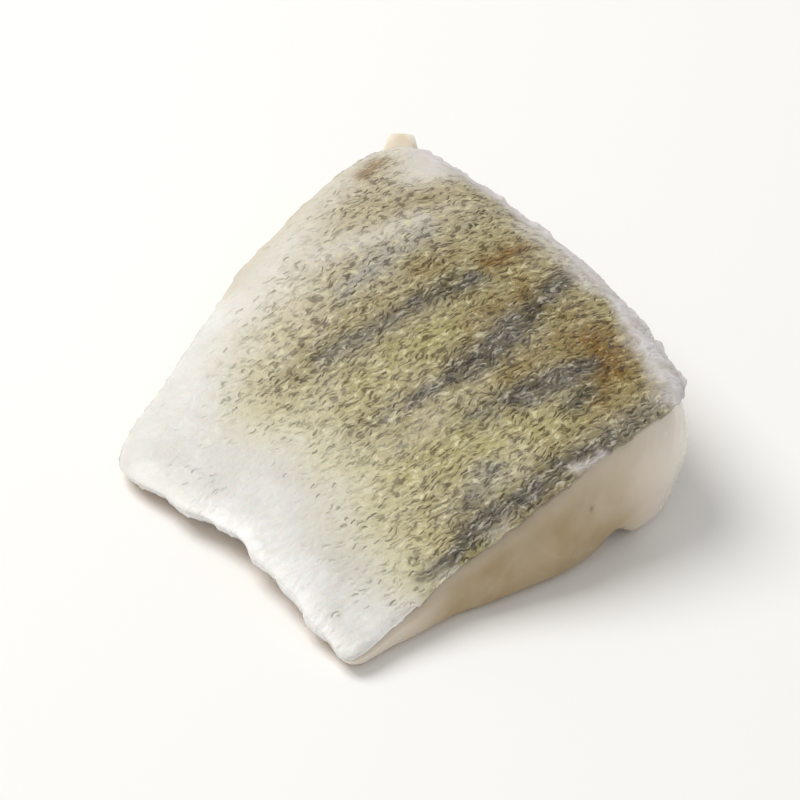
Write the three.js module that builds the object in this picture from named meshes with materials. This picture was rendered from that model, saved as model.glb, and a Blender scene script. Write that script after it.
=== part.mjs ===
import * as THREE from 'three';

// Perch fillet: one portion cut across a skin-on side of fish, lying skin up.
// All lengths in millimetres. X runs along the fish, Y towards its back, Z up.
// The skin is a patch in two shares: s goes from the far cut (0) to the near
// cut (1), t from the belly edge (0) to the dorsal edge (1).

// Corners of the skin seen from above
const farDorsal = [-45.1, 32.6];
const nearDorsal = [29.0, 29.7];
const nearBelly = [39.4, -37.4];
const farBelly = [-14.7, -40.4];

// How far each edge bows out of the straight line between its corners, and
// how much more it does so towards its far end
const dorsalBow = 4.1;
const dorsalBowSkew = 1.1;
const bellyBow = -3.1;
const bellyBowSkew = -1.3;
const farCutBow = 3.1;
const nearCutBow = -0.9;
const nearCutBowSkew = 3.9;

// Unevenness of each edge: rows of height, rate along the edge and phase
const bellyWaves = [[0.55, 10.1, 0.3], [0.35, 23.2, 1.1], [0.2, 46, 2]];
const dorsalWaves = [[0.25, 12.6, 0.4]];
const nearCutWaves = [[0.25, 13.8, 0.2], [0.12, 32, 0.7]];
const farCutWaves = [[0.3, 14.5, 1], [0.15, 29, 0]];

// Rounding of the four corners as a share of the patch
const farDorsalRound = 0.016;
const nearDorsalRound = 0.045;
const nearBellyRound = 0.03;
const farBellyRound = 0.04;
const sharpestCornerPower = 28;

// Power of the share with which an edge's own values die out inward
const edgeReachPower = 12;

// Size of the patch used to turn shares into lengths
const patchLength = 70;
const patchWidth = 68;

// Height of the skin above the table
const bellyHeight = 3.2;
const dorsalHeightFar = 20.0;
const dorsalHeightNear = 20.5;
const dorsalArch = 1.2;
const crossSway = 0.09;
const crownFar = 3.6;
const crownNear = 0.9;
const bellyLift = 2.2;

// Fall of the skin along each edge, and how far in it starts
const dorsalDrop = 2.4;
const dorsalDropReach = 7;
const farCutDrop = 2.6;
const farCutDropReach = 8;
const nearCutDrop = 0.5;
const nearCutDropReach = 3;
const bellyDrop = 0.7;
const bellyDropReach = 4;
const dropSharpness = 2.2;
const farCutDropAtBelly = 0.35;

// Skin
const skinThickness = 0.6;
const skinGap = 0.3;

// Flesh standing past the trimmed skin, per edge
const nearCutOverhang = 0.8;
const farCutOverhang = 0.6;
const dorsalOverhang = 0.7;
const bellyOverhang = 0.25;
const wallBulge = 1.5;
const wallBulgeHeight = 14;
const wallBulgePower = 1.5;
const overhangStartPower = 6;
const nearCutFlare = 1.6;
const flareWallHeight = 8;

// Rounding under at the foot of the walls, per edge
const nearCutTuck = 1.3;
const farCutTuck = 2.0;
const dorsalTuck = 4.2;
const bellyTuck = 1.2;
const tuckShareOfWall = 0.4;
const tuckReach = 1.25;
const tuckSharpness = 2.6;

// Small tip of flesh past the skin at the far dorsal corner
const tipLength = 2.7;
const tipHalfWidth = 2.6;
const tipBluntness = 4;
const tipRise = 1.3;
const tipRiseShare = 0.75;
const tipRootLevel = 0.35;

// Groove between the two muscles on the underside
const grooveShare = 0.775;
const grooveWander = 0.012;
const grooveDepth = 2.8;
const grooveHalfWidth = 3.4;
const grooveEnd = 0.03;

// Rise of the underside towards the thin belly edge
const bellyRise = 0.4;
const bellyRiseShare = 0.34;
const liftShare = 0.5;
const undersideLift = 1.76;

// Colours
const fleshColour = 0xdccdb4;
const skinColour = 0x8f8763;

// Mesh
const cellsPerSide = 28;
const edgeCrowding = 0.1;
const wallRings = 6;
const normalStep = 1e-3;
const edgeShare = 4e-3;
const outwardStep = 0.015;

const clamp = THREE.MathUtils.clamp;
const mix = THREE.MathUtils.lerp;

// A point on a bowed edge between two corners; side picks the way it bows
function edgePoint(start, end, share, bow, skew, side) {
  const run = Math.hypot(end[0] - start[0], end[1] - start[1]);
  const alongX = (end[0] - start[0]) / run;
  const alongY = (end[1] - start[1]) / run;
  const hump = 4 * share * (1 - share);
  const offset = side * hump * (bow + skew * (2 * share - 1));
  return [
    mix(start[0], end[0], share) + alongY * offset,
    mix(start[1], end[1], share) - alongX * offset,
  ];
}

// Waves along an edge, ending at its two corners
function waveHeight(waves, share) {
  const inside = clamp(share, 0, 1);
  const height = waves.reduce((sum, [size, rate, phase]) => sum + size * Math.sin(rate * share + phase), 0);
  return height * Math.sqrt(4 * inside * (1 - inside));
}

// Uneven edges, dying out a few millimetres inside them
function edgeWaves(s, t) {
  const near = waveHeight(nearCutWaves, t) * s ** edgeReachPower;
  const far = waveHeight(farCutWaves, t) * (1 - s) ** edgeReachPower;
  const dorsal = waveHeight(dorsalWaves, s) * t ** edgeReachPower;
  const belly = waveHeight(bellyWaves, s) * (1 - t) ** edgeReachPower;
  return [near - far, dorsal - belly];
}

// Pulls the corners of the patch in, so that they are rounded
function roundedShares(s, t) {
  const a = 2 * s - 1;
  const b = 2 * t - 1;
  const far = mix(farBellyRound, farDorsalRound, t);
  const near = mix(nearBellyRound, nearDorsalRound, t);
  const pull = mix(far, near, s);
  const power = Math.min(sharpestCornerPower, (1 - pull) / pull);
  return [
    0.5 + 0.5 * a * (1 - pull * Math.min(1, Math.abs(b)) ** power),
    0.5 + 0.5 * b * (1 - pull * Math.min(1, Math.abs(a)) ** power),
  ];
}

// Outline of the skin seen from above, filled in between its four edges
function planPoint(sRaw, tRaw) {
  const [s, t] = roundedShares(sRaw, tRaw);
  const dorsal = edgePoint(farDorsal, nearDorsal, s, dorsalBow, dorsalBowSkew, -1);
  const belly = edgePoint(farBelly, nearBelly, s, bellyBow, bellyBowSkew, 1);
  const far = edgePoint(farBelly, farDorsal, t, farCutBow, 0, -1);
  const near = edgePoint(nearBelly, nearDorsal, t, nearCutBow, nearCutBowSkew, 1);
  const waves = edgeWaves(sRaw, tRaw);
  return [0, 1].map((axis) => {
    const corners = mix(
      mix(farBelly[axis], nearBelly[axis], s),
      mix(farDorsal[axis], nearDorsal[axis], s),
      t,
    );
    const acrossFill = mix(belly[axis], dorsal[axis], t);
    const alongFill = mix(far[axis], near[axis], s);
    return acrossFill + alongFill - corners + waves[axis];
  });
}

// Fall of the skin at a distance from one edge
function edgeFall(distance, reach, drop) {
  return drop * clamp(1 - distance / reach, 0, 1) ** dropSharpness;
}

function skinHeight(s, t) {
  const inS = clamp(s, 0, 1);
  const inT = clamp(t, 0, 1);
  const rise = t - crossSway * Math.sin(2 * Math.PI * t);
  const low = bellyHeight + bellyLift * Math.sin(Math.PI * inS) * (1 - t) ** 2;
  const high = mix(dorsalHeightFar, dorsalHeightNear, s) + dorsalArch * 4 * s * (1 - s);
  const crown = mix(crownFar, crownNear, s) * Math.sin(Math.PI * t);
  const farShare = mix(farCutDropAtBelly, 1, Math.sqrt(inT));
  const falls = [
    edgeFall((1 - t) * patchWidth, dorsalDropReach, dorsalDrop),
    edgeFall(s * patchLength, farCutDropReach, farCutDrop) * farShare,
    edgeFall((1 - s) * patchLength, nearCutDropReach, nearCutDrop),
    edgeFall(t * patchWidth, bellyDropReach, bellyDrop),
  ];
  const fall = Math.cbrt(falls.reduce((sum, one) => sum + one ** 3, 0));
  return mix(low, high, rise) + crown - fall;
}

function skinPoint(s, t) {
  const [x, y] = planPoint(s, t);
  return new THREE.Vector3(x, y, skinHeight(s, t));
}

function skinNormal(sRaw, tRaw) {
  const s = clamp(sRaw, edgeShare, 1 - edgeShare);
  const t = clamp(tRaw, edgeShare, 1 - edgeShare);
  const along = skinPoint(s + normalStep, t).sub(skinPoint(s - normalStep, t));
  const across = skinPoint(s, t + normalStep).sub(skinPoint(s, t - normalStep));
  return along.cross(across).normalize();
}

// A point below the skin's outer face, measured square to it
function belowSkin(s, t, depth) {
  return skinPoint(s, t).addScaledVector(skinNormal(s, t), -depth);
}

// How close a place on the outline is to the flesh tip, from 0 to 1
function tipShare(s, t) {
  const distance = Math.hypot(s * patchLength, (1 - t) * patchWidth);
  return Math.exp(-((distance / tipHalfWidth) ** tipBluntness));
}

// Top of the flesh under the skin, carried past the skin's corner at the tip
function fleshTopPoint(s, t) {
  const share = tipShare(s, t);
  const reach = share * tipLength * Math.SQRT1_2;
  const point = belowSkin(s - reach / patchLength, t + reach / patchWidth, skinThickness + skinGap);
  point.z += tipRise * Math.max(0, share - tipRiseShare) / (1 - tipRiseShare);
  return point;
}

// Underside: flat, with a groove and a rise towards the belly edge
function undersideHeight(s, t) {
  const middle = grooveShare + grooveWander * Math.sin(2 * Math.PI * s + 0.6);
  const off = (t - middle) * patchWidth / grooveHalfWidth;
  const groove = grooveDepth * Math.max(0, Math.exp(-off * off) - grooveEnd) / (1 - grooveEnd);
  const rise = bellyRise * clamp(1 - t / bellyRiseShare, 0, 1) ** 2;
  const lift = undersideLift * Math.sin(Math.PI * clamp(s, 0, 1))
    * clamp(1 - t / liftShare, 0, 1) ** 2;
  return groove + rise + lift;
}

// One value per edge, blended round the corners
function blendEdges(s, t, far, near, belly, dorsal) {
  const shares = [1 - s, s, 1 - t, t].map((share) => share ** edgeReachPower);
  const values = [far, near, belly, dorsal];
  const total = shares.reduce((sum, share) => sum + share, 0);
  return values.reduce((sum, value, i) => sum + value * shares[i], 0) / total;
}

// Direction out of the outline at a point on it
function outward(s, t) {
  const [x, y] = planPoint(s, t);
  const [innerX, innerY] = planPoint(mix(s, 0.5, 2 * outwardStep), mix(t, 0.5, 2 * outwardStep));
  const run = Math.hypot(x - innerX, y - innerY);
  return [(x - innerX) / run, (y - innerY) / run];
}

// The cut and trimmed sides of the flesh; level goes from the skin (0) down (1)
function wallPoint(s, t, level) {
  const top = fleshTopPoint(s, t);
  const foot = undersideHeight(s, t);
  const wallHeight = top.z - foot;
  const edgeOut = blendEdges(s, t, farCutOverhang, nearCutOverhang, bellyOverhang, dorsalOverhang);
  const edgeTuck = blendEdges(s, t, farCutTuck, nearCutTuck, bellyTuck, dorsalTuck);
  const tuck = Math.min(edgeTuck, tuckShareOfWall * wallHeight);
  const tuckStart = 1 - tuckReach * tuck / wallHeight;
  const bulge = wallBulge * Math.min(1, wallHeight / wallBulgeHeight) ** wallBulgePower;
  const flare = blendEdges(s, t, 0, nearCutFlare, 0, 0) * Math.min(1, wallHeight / flareWallHeight);
  const tipRoot = tipLength * tipShare(s, t) * THREE.MathUtils.smoothstep(level, 0, tipRootLevel);
  const ease = 1 - (1 - level) ** overhangStartPower;
  const under = clamp((level - tuckStart) / (1 - tuckStart), 0, 1) ** tuckSharpness;
  const out = (edgeOut + bulge * Math.sin(Math.PI * level)) * ease
    + flare * level - tipRoot - tuck * under;
  const [outX, outY] = outward(s, t);
  return new THREE.Vector3(top.x + outX * out, top.y + outY * out, top.z - wallHeight * level);
}

// How far the foot of the wall stands from the outline
function footOffset(s, t) {
  const foot = wallPoint(s, t, 1);
  const [x, y] = planPoint(s, t);
  return [foot.x - x, foot.y - y];
}

// Underside point; the foot's offsets are filled in between the four edges
function undersidePoint(s, t) {
  const [belly, dorsal] = [footOffset(s, 0), footOffset(s, 1)];
  const [far, near] = [footOffset(0, t), footOffset(1, t)];
  const [lowFar, lowNear] = [footOffset(0, 0), footOffset(1, 0)];
  const [highFar, highNear] = [footOffset(0, 1), footOffset(1, 1)];
  const plan = planPoint(s, t);
  const [x, y] = [0, 1].map((axis) => {
    const corners = mix(
      mix(lowFar[axis], lowNear[axis], s),
      mix(highFar[axis], highNear[axis], s),
      t,
    );
    const fill = mix(belly[axis], dorsal[axis], t) + mix(far[axis], near[axis], s) - corners;
    return plan[axis] + fill;
  });
  return new THREE.Vector3(x, y, undersideHeight(s, t));
}

// Shares of the grid lines, closer together near the edges
const gridShares = Array.from({ length: cellsPerSide + 1 }, (unused, i) => {
  const share = i / cellsPerSide;
  return share - edgeCrowding * Math.sin(2 * Math.PI * share);
});

// Grid positions round the rim, anticlockwise from above
function rimCells() {
  const cells = [];
  for (let i = 0; i < cellsPerSide; i += 1) cells.push([i, 0]);
  for (let j = 0; j < cellsPerSide; j += 1) cells.push([cellsPerSide, j]);
  for (let i = cellsPerSide; i > 0; i -= 1) cells.push([i, cellsPerSide]);
  for (let j = cellsPerSide; j > 0; j -= 1) cells.push([0, j]);
  return cells;
}

// Closed body from an upper face, a side of rings and a lower face
function closedBody(upper, side, rings, lower) {
  const points = [];
  const faces = [];
  const add = (point) => points.push(point) - 1;
  const last = cellsPerSide;
  const rim = rimCells();
  const top = gridShares.map((s) => gridShares.map((t) => add(upper(s, t))));
  let previous = rim.map(([i, j]) => top[i][j]);
  for (let ring = 1; ring <= rings; ring += 1) {
    const next = rim.map(([i, j]) => add(side(gridShares[i], gridShares[j], ring / rings)));
    next.forEach((low, at) => {
      const after = (at + 1) % next.length;
      faces.push([previous[at], low, next[after]]);
      faces.push([previous[at], next[after], previous[after]]);
    });
    previous = next;
  }
  const foot = new Map(rim.map(([i, j], at) => [i * (last + 1) + j, previous[at]]));
  const bottom = gridShares.map((s, i) => gridShares.map((t, j) => (
    foot.get(i * (last + 1) + j) ?? add(lower(s, t))
  )));
  for (let i = 0; i < last; i += 1) {
    for (let j = 0; j < last; j += 1) {
      faces.push([top[i][j], top[i + 1][j], top[i + 1][j + 1]]);
      faces.push([top[i][j], top[i + 1][j + 1], top[i][j + 1]]);
      faces.push([bottom[i][j], bottom[i + 1][j + 1], bottom[i + 1][j]]);
      faces.push([bottom[i][j], bottom[i][j + 1], bottom[i + 1][j + 1]]);
    }
  }
  const geometry = new THREE.BufferGeometry();
  const numbers = points.flatMap((point) => [point.x, point.y, point.z]);
  geometry.setAttribute('position', new THREE.Float32BufferAttribute(numbers, 3));
  geometry.setIndex(faces.flat());
  geometry.computeVertexNormals();
  return geometry;
}

function fleshGeometry() {
  return closedBody(fleshTopPoint, wallPoint, wallRings, undersidePoint);
}

function skinGeometry() {
  const lower = (s, t) => belowSkin(s, t, skinThickness);
  const side = (s, t, level) => belowSkin(s, t, skinThickness * level);
  return closedBody(skinPoint, side, 1, lower);
}

function namedMesh(name, geometry, colour, roughness) {
  const material = new THREE.MeshStandardMaterial({ color: colour, roughness, metalness: 0 });
  material.name = name;
  const mesh = new THREE.Mesh(geometry, material);
  mesh.name = name;
  return mesh;
}

const fillet = new THREE.Group();
fillet.name = 'perch_fillet';
fillet.add(namedMesh('flesh', fleshGeometry(), fleshColour, 0.35));
fillet.add(namedMesh('skin', skinGeometry(), skinColour, 0.4));

// Centre of the underside's box on the origin
const box = new THREE.Box3().setFromObject(fillet);
const centre = box.getCenter(new THREE.Vector3());
fillet.children.forEach((mesh) => mesh.geometry.translate(-centre.x, -centre.y, -box.min.z));

export default fillet;
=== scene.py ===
import math
import bpy
import numpy as np
from mathutils import Matrix, Vector


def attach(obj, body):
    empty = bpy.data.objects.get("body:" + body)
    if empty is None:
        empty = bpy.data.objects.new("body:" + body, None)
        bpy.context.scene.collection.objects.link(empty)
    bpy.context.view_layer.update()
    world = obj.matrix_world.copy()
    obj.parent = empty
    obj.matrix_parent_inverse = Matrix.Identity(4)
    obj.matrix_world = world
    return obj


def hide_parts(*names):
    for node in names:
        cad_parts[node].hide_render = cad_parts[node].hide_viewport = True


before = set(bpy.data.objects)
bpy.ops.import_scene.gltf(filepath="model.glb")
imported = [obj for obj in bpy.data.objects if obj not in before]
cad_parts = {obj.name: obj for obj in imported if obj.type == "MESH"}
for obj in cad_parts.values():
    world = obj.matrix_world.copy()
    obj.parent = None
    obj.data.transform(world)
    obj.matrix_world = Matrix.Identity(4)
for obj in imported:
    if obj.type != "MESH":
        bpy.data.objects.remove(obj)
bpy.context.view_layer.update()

# Shape of the fillet, as the solids have it, in millimetres. Shares s and t run over the skin:
# s from the far cut (0) to the near cut (1), t from the belly edge (0) to the dorsal edge (1).
form = {
    "farDorsal": (-45.1, 32.6), "nearDorsal": (29.0, 29.7),
    "nearBelly": (39.4, -37.4), "farBelly": (-14.7, -40.4),
    "dorsalBow": 4.1, "dorsalBowSkew": 1.1, "bellyBow": -3.1, "bellyBowSkew": -1.3,
    "farCutBow": 3.1, "nearCutBow": -0.9, "nearCutBowSkew": 3.9,
    "bellyWaves": ((0.55, 10.1, 0.3), (0.35, 23.2, 1.1), (0.2, 46, 2)),
    "dorsalWaves": ((0.25, 12.6, 0.4),),
    "nearCutWaves": ((0.25, 13.8, 0.2), (0.12, 32, 0.7)),
    "farCutWaves": ((0.3, 14.5, 1), (0.15, 29, 0)),
    "farDorsalRound": 0.05, "nearDorsalRound": 0.045,
    "nearBellyRound": 0.056, "farBellyRound": 0.045,
    "sharpestCornerPower": 28, "edgeReachPower": 12,
    "patchLength": 70, "patchWidth": 68,
    "bellyHeight": 3.2, "dorsalHeightFar": 20.0, "dorsalHeightNear": 20.5,
    "dorsalArch": 1.2, "crossSway": 0.09, "crownFar": 3.6, "crownNear": 0.9, "bellyLift": 2.2,
    "dorsalDrop": 2.4, "dorsalDropReach": 7, "farCutDrop": 2.6, "farCutDropReach": 8,
    "nearCutDrop": 0.5, "nearCutDropReach": 3, "bellyDrop": 0.7, "bellyDropReach": 4,
    "dropSharpness": 2.2, "farCutDropAtBelly": 0.35,
    "fleshDepth": 0.66,
    "nearCutOverhang": 0.8, "farCutOverhang": 0.6, "dorsalOverhang": 0.7, "bellyOverhang": 0.25,
    "wallBulge": 1.5, "wallBulgeHeight": 14, "wallBulgePower": 1.5, "overhangStartPower": 14,
    "nearCutFlare": 1.6, "flareWallHeight": 8,
    "nearCutTuck": 1.3, "farCutTuck": 2.0, "dorsalTuck": 4.2, "bellyTuck": 1.2,
    "bellyBevel": 2.4, "tuckShareOfWall": 0.4, "tuckReach": 1.25, "tuckSharpness": 2.6,
    # a small block of flesh past the far dorsal corner: reach along each edge, length, rise
    "tipReach": 3.1, "tipFlat": 0.6, "tipLength": 2.3, "tipWiden": -0.12, "tipRise": 2.55,
    "tipRound": 0.15, "tipHalfBreadth": 2, "tipOut": (-0.82, 0.57), "tipRootLevel": (0.04, 0.24),
    "grooveShare": 0.775, "grooveWander": 0.012, "groovePhase": 0.6, "grooveDepth": 2.8,
    "grooveHalfWidth": 3.4, "grooveEnd": 0.03,
    "bellyRise": 0.4, "bellyRiseShare": 0.34, "liftShare": 0.5, "undersideLift": 1.76,
    "normalStep": 1e-3, "edgeShare": 4e-3, "outwardStep": 0.015,
}


def mix(a, b, share):
    return a + (b - a) * share


def smooth(low, high, value):
    share = np.clip((value - low) / (high - low), 0, 1)
    return share * share * (3 - 2 * share)


def edgePoint(start, end, share, bow, skew, side):
    run = math.hypot(end[0] - start[0], end[1] - start[1])
    alongX = (end[0] - start[0]) / run
    alongY = (end[1] - start[1]) / run
    offset = side * 4 * share * (1 - share) * (bow + skew * (2 * share - 1))
    x = mix(start[0], end[0], share) + alongY * offset
    y = mix(start[1], end[1], share) - alongX * offset
    return x, y


def waveHeight(waves, share):
    inside = np.clip(share, 0, 1)
    height = sum(size * np.sin(rate * share + phase) for size, rate, phase in waves)
    return height * np.sqrt(4 * inside * (1 - inside))


def roundedShares(s, t):
    a = 2 * s - 1
    b = 2 * t - 1
    far = mix(form["farBellyRound"], form["farDorsalRound"], t)
    near = mix(form["nearBellyRound"], form["nearDorsalRound"], t)
    pull = mix(far, near, s)
    power = np.minimum(form["sharpestCornerPower"], (1 - pull) / pull)
    return (0.5 + 0.5 * a * (1 - pull * np.minimum(1, np.abs(b)) ** power),
            0.5 + 0.5 * b * (1 - pull * np.minimum(1, np.abs(a)) ** power))


def planPoint(sRaw, tRaw):
    s, t = roundedShares(sRaw, tRaw)
    farDorsal, nearDorsal = form["farDorsal"], form["nearDorsal"]
    farBelly, nearBelly = form["farBelly"], form["nearBelly"]
    dorsal = edgePoint(farDorsal, nearDorsal, s, form["dorsalBow"], form["dorsalBowSkew"], -1)
    belly = edgePoint(farBelly, nearBelly, s, form["bellyBow"], form["bellyBowSkew"], 1)
    far = edgePoint(farBelly, farDorsal, t, form["farCutBow"], 0, -1)
    near = edgePoint(nearBelly, nearDorsal, t, form["nearCutBow"], form["nearCutBowSkew"], 1)
    power = form["edgeReachPower"]
    waves = (waveHeight(form["nearCutWaves"], tRaw) * sRaw ** power
             - waveHeight(form["farCutWaves"], tRaw) * (1 - sRaw) ** power,
             waveHeight(form["dorsalWaves"], sRaw) * tRaw ** power
             - waveHeight(form["bellyWaves"], sRaw) * (1 - tRaw) ** power)
    plan = []
    for axis in (0, 1):
        corners = mix(mix(farBelly[axis], nearBelly[axis], s),
                      mix(farDorsal[axis], nearDorsal[axis], s), t)
        plan.append(mix(belly[axis], dorsal[axis], t) + mix(far[axis], near[axis], s)
                    - corners + waves[axis])
    return plan


def edgeFall(distance, reach, drop):
    return drop * np.clip(1 - distance / reach, 0, 1) ** form["dropSharpness"]


def skinHeight(s, t):
    inS = np.clip(s, 0, 1)
    inT = np.clip(t, 0, 1)
    rise = t - form["crossSway"] * np.sin(2 * np.pi * t)
    low = form["bellyHeight"] + form["bellyLift"] * np.sin(np.pi * inS) * (1 - t) ** 2
    high = mix(form["dorsalHeightFar"], form["dorsalHeightNear"], s)
    high = high + form["dorsalArch"] * 4 * s * (1 - s)
    crown = mix(form["crownFar"], form["crownNear"], s) * np.sin(np.pi * t)
    length, width = form["patchLength"], form["patchWidth"]
    falls = (edgeFall((1 - t) * width, form["dorsalDropReach"], form["dorsalDrop"]),
             edgeFall(s * length, form["farCutDropReach"], form["farCutDrop"])
             * mix(form["farCutDropAtBelly"], 1, np.sqrt(inT)),
             edgeFall((1 - s) * length, form["nearCutDropReach"], form["nearCutDrop"]),
             edgeFall(t * width, form["bellyDropReach"], form["bellyDrop"]))
    return mix(low, high, rise) + crown - np.cbrt(sum(fall ** 3 for fall in falls))


def skinPoint(s, t):
    x, y = planPoint(s, t)
    return np.stack([x, y, skinHeight(s, t)], -1)


def skinNormal(s, t):
    step, edge = form["normalStep"], form["edgeShare"]
    s = np.clip(s, edge, 1 - edge)
    t = np.clip(t, edge, 1 - edge)
    along = skinPoint(s + step, t) - skinPoint(s - step, t)
    across = skinPoint(s, t + step) - skinPoint(s, t - step)
    normal = np.cross(along, across)
    return normal / np.linalg.norm(normal, axis=-1, keepdims=True)


def belowSkin(s, t, depth):
    return skinPoint(s, t) - skinNormal(s, t) * depth


def tipShare(s, t):
    reach = (s * form["patchLength"] + (1 - t) * form["patchWidth"]) / form["tipReach"]
    return 1 - smooth(form["tipFlat"], 1.0, reach)


def fleshTopPoint(s, t):
    share = tipShare(s, t)
    point = belowSkin(s, t, form["fleshDepth"])
    outX, outY = form["tipOut"]
    cornerX, cornerY = planPoint(0.0, 1.0)
    x, y = point[..., 0] - cornerX, point[..., 1] - cornerY
    past, aside = x * outX + y * outY, x * -outY + y * outX
    end = form["tipLength"] - form["tipRound"] * (aside / form["tipHalfBreadth"]) ** 2
    past = mix(past, end, share)
    aside = aside * (1 + form["tipWiden"] * share)
    cornerZ = skinHeight(0.0, 1.0) - form["fleshDepth"]
    height = mix(point[..., 2], cornerZ + form["tipRise"], share)
    x = cornerX + past * outX - aside * outY
    y = cornerY + past * outY + aside * outX
    return np.stack([x, y, height], -1)


def undersideHeight(s, t):
    middle = form["grooveShare"] + form["grooveWander"] * np.sin(2 * np.pi * s + form["groovePhase"])
    off = (t - middle) * form["patchWidth"] / form["grooveHalfWidth"]
    end = form["grooveEnd"]
    groove = form["grooveDepth"] * np.maximum(0, np.exp(-off * off) - end) / (1 - end)
    rise = form["bellyRise"] * np.clip(1 - t / form["bellyRiseShare"], 0, 1) ** 2
    lift = (form["undersideLift"] * np.sin(np.pi * np.clip(s, 0, 1))
            * np.clip(1 - t / form["liftShare"], 0, 1) ** 2)
    return groove + rise + lift


def blendEdges(s, t, far, near, belly, dorsal):
    shares = [share ** form["edgeReachPower"] for share in (1 - s, s, 1 - t, t)]
    total = sum(shares)
    return sum(share * value for share, value in zip(shares, (far, near, belly, dorsal))) / total


def outward(s, t):
    step = 2 * form["outwardStep"]
    x, y = planPoint(s, t)
    innerX, innerY = planPoint(mix(s, 0.5, step), mix(t, 0.5, step))
    run = np.hypot(x - innerX, y - innerY)
    return (x - innerX) / run, (y - innerY) / run


def wallPoint(s, t, level):
    top = fleshTopPoint(s, t)
    wallHeight = top[..., 2] - undersideHeight(s, t)
    edgeOut = blendEdges(s, t, form["farCutOverhang"], form["nearCutOverhang"],
                         form["bellyOverhang"], form["dorsalOverhang"])
    edgeTuck = blendEdges(s, t, form["farCutTuck"], form["nearCutTuck"],
                          form["bellyTuck"], form["dorsalTuck"])
    tuck = np.minimum(edgeTuck, form["tuckShareOfWall"] * wallHeight)
    tuckStart = 1 - form["tuckReach"] * tuck / wallHeight
    bulge = form["wallBulge"] * np.minimum(1, wallHeight / form["wallBulgeHeight"]) ** form["wallBulgePower"]
    flare = blendEdges(s, t, 0, form["nearCutFlare"], 0, 0)
    flare = flare * np.minimum(1, wallHeight / form["flareWallHeight"])
    base = mix(top, belowSkin(s, t, form["fleshDepth"]), smooth(*form["tipRootLevel"], level))
    ease = 1 - (1 - level) ** form["overhangStartPower"]
    under = np.clip((level - tuckStart) / (1 - tuckStart), 0, 1) ** form["tuckSharpness"]
    bevel = blendEdges(s, t, 0, 0, form["bellyBevel"], 0) * level
    out = (edgeOut + bulge * np.sin(np.pi * level)) * ease + flare * level - tuck * under - bevel
    outX, outY = outward(s, t)
    return np.stack([base[..., 0] + outX * out, base[..., 1] + outY * out,
                     top[..., 2] - wallHeight * level], -1)


def footOffset(s, t):
    foot = wallPoint(s, t, 1.0)
    x, y = planPoint(s, t)
    return np.stack([foot[..., 0] - x, foot[..., 1] - y], -1)


def undersidePoint(s, t):
    zero, one = np.zeros_like(s), np.ones_like(s)
    share, across = s[..., None], t[..., None]
    corners = mix(mix(footOffset(zero, zero), footOffset(one, zero), share),
                  mix(footOffset(zero, one), footOffset(one, one), share), across)
    fill = (mix(footOffset(s, zero), footOffset(s, one), across)
            + mix(footOffset(zero, t), footOffset(one, t), share) - corners)
    x, y = planPoint(s, t)
    return np.stack([x + fill[..., 0], y + fill[..., 1], undersideHeight(s, t)], -1)


# where the middle of the solids' box lies in the form, as the solids are centred on it
shift = np.array([-4.067, -1.409, 0.0])
noiseCells = 256
noiseStart = 1000.0  # keeps every place positive


def valueNoise(x, y, size, seed):
    table = np.random.default_rng(seed).random((noiseCells, noiseCells))
    u, v = x / size + noiseStart, y / size + noiseStart
    i, j = np.floor(u).astype(int), np.floor(v).astype(int)
    a, b = u - i, v - j
    a, b = a * a * (3 - 2 * a), b * b * (3 - 2 * b)
    i, j, i2, j2 = (at % noiseCells for at in (i, j, i + 1, j + 1))
    return mix(mix(table[i, j], table[i2, j], a), mix(table[i, j2], table[i2, j2], a), b)


def cloud(x, y, size, seed, layers):
    total = sum(valueNoise(x, y, size / 2 ** k, seed + k) / 2 ** k for k in range(layers))
    return total / sum(1 / 2 ** k for k in range(layers))


def haze(look, name, x, y):
    # one of a piece's clouds of noise, each written as size in mm, seed and number of layers
    return cloud(x, y, *look["clouds"][name])


def strokeMask(x, y, points, width):
    # 1 on a soft stroke through the points, fading to 0 at about its width
    best = np.full(x.shape, np.inf)
    for (x0, y0), (x1, y1) in zip(points[:-1], points[1:]):
        runX, runY = x1 - x0, y1 - y0
        along = np.clip(((x - x0) * runX + (y - y0) * runY) / (runX ** 2 + runY ** 2), 0, 1)
        best = np.minimum(best, np.hypot(x - x0 - along * runX, y - y0 - along * runY))
    return np.exp(-(best / width) ** 2)


def drawStrokes(x, y, strokes):
    # the strongest of several strokes at every place
    total = np.zeros(x.shape)
    for width, strength, *points in strokes:
        total = np.maximum(total, strength * strokeMask(x, y, points, width))
    return total


def edgeDistance(s, t):
    return np.minimum(np.minimum(s, 1 - s) * form["patchLength"], np.minimum(t, 1 - t) * form["patchWidth"])


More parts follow.
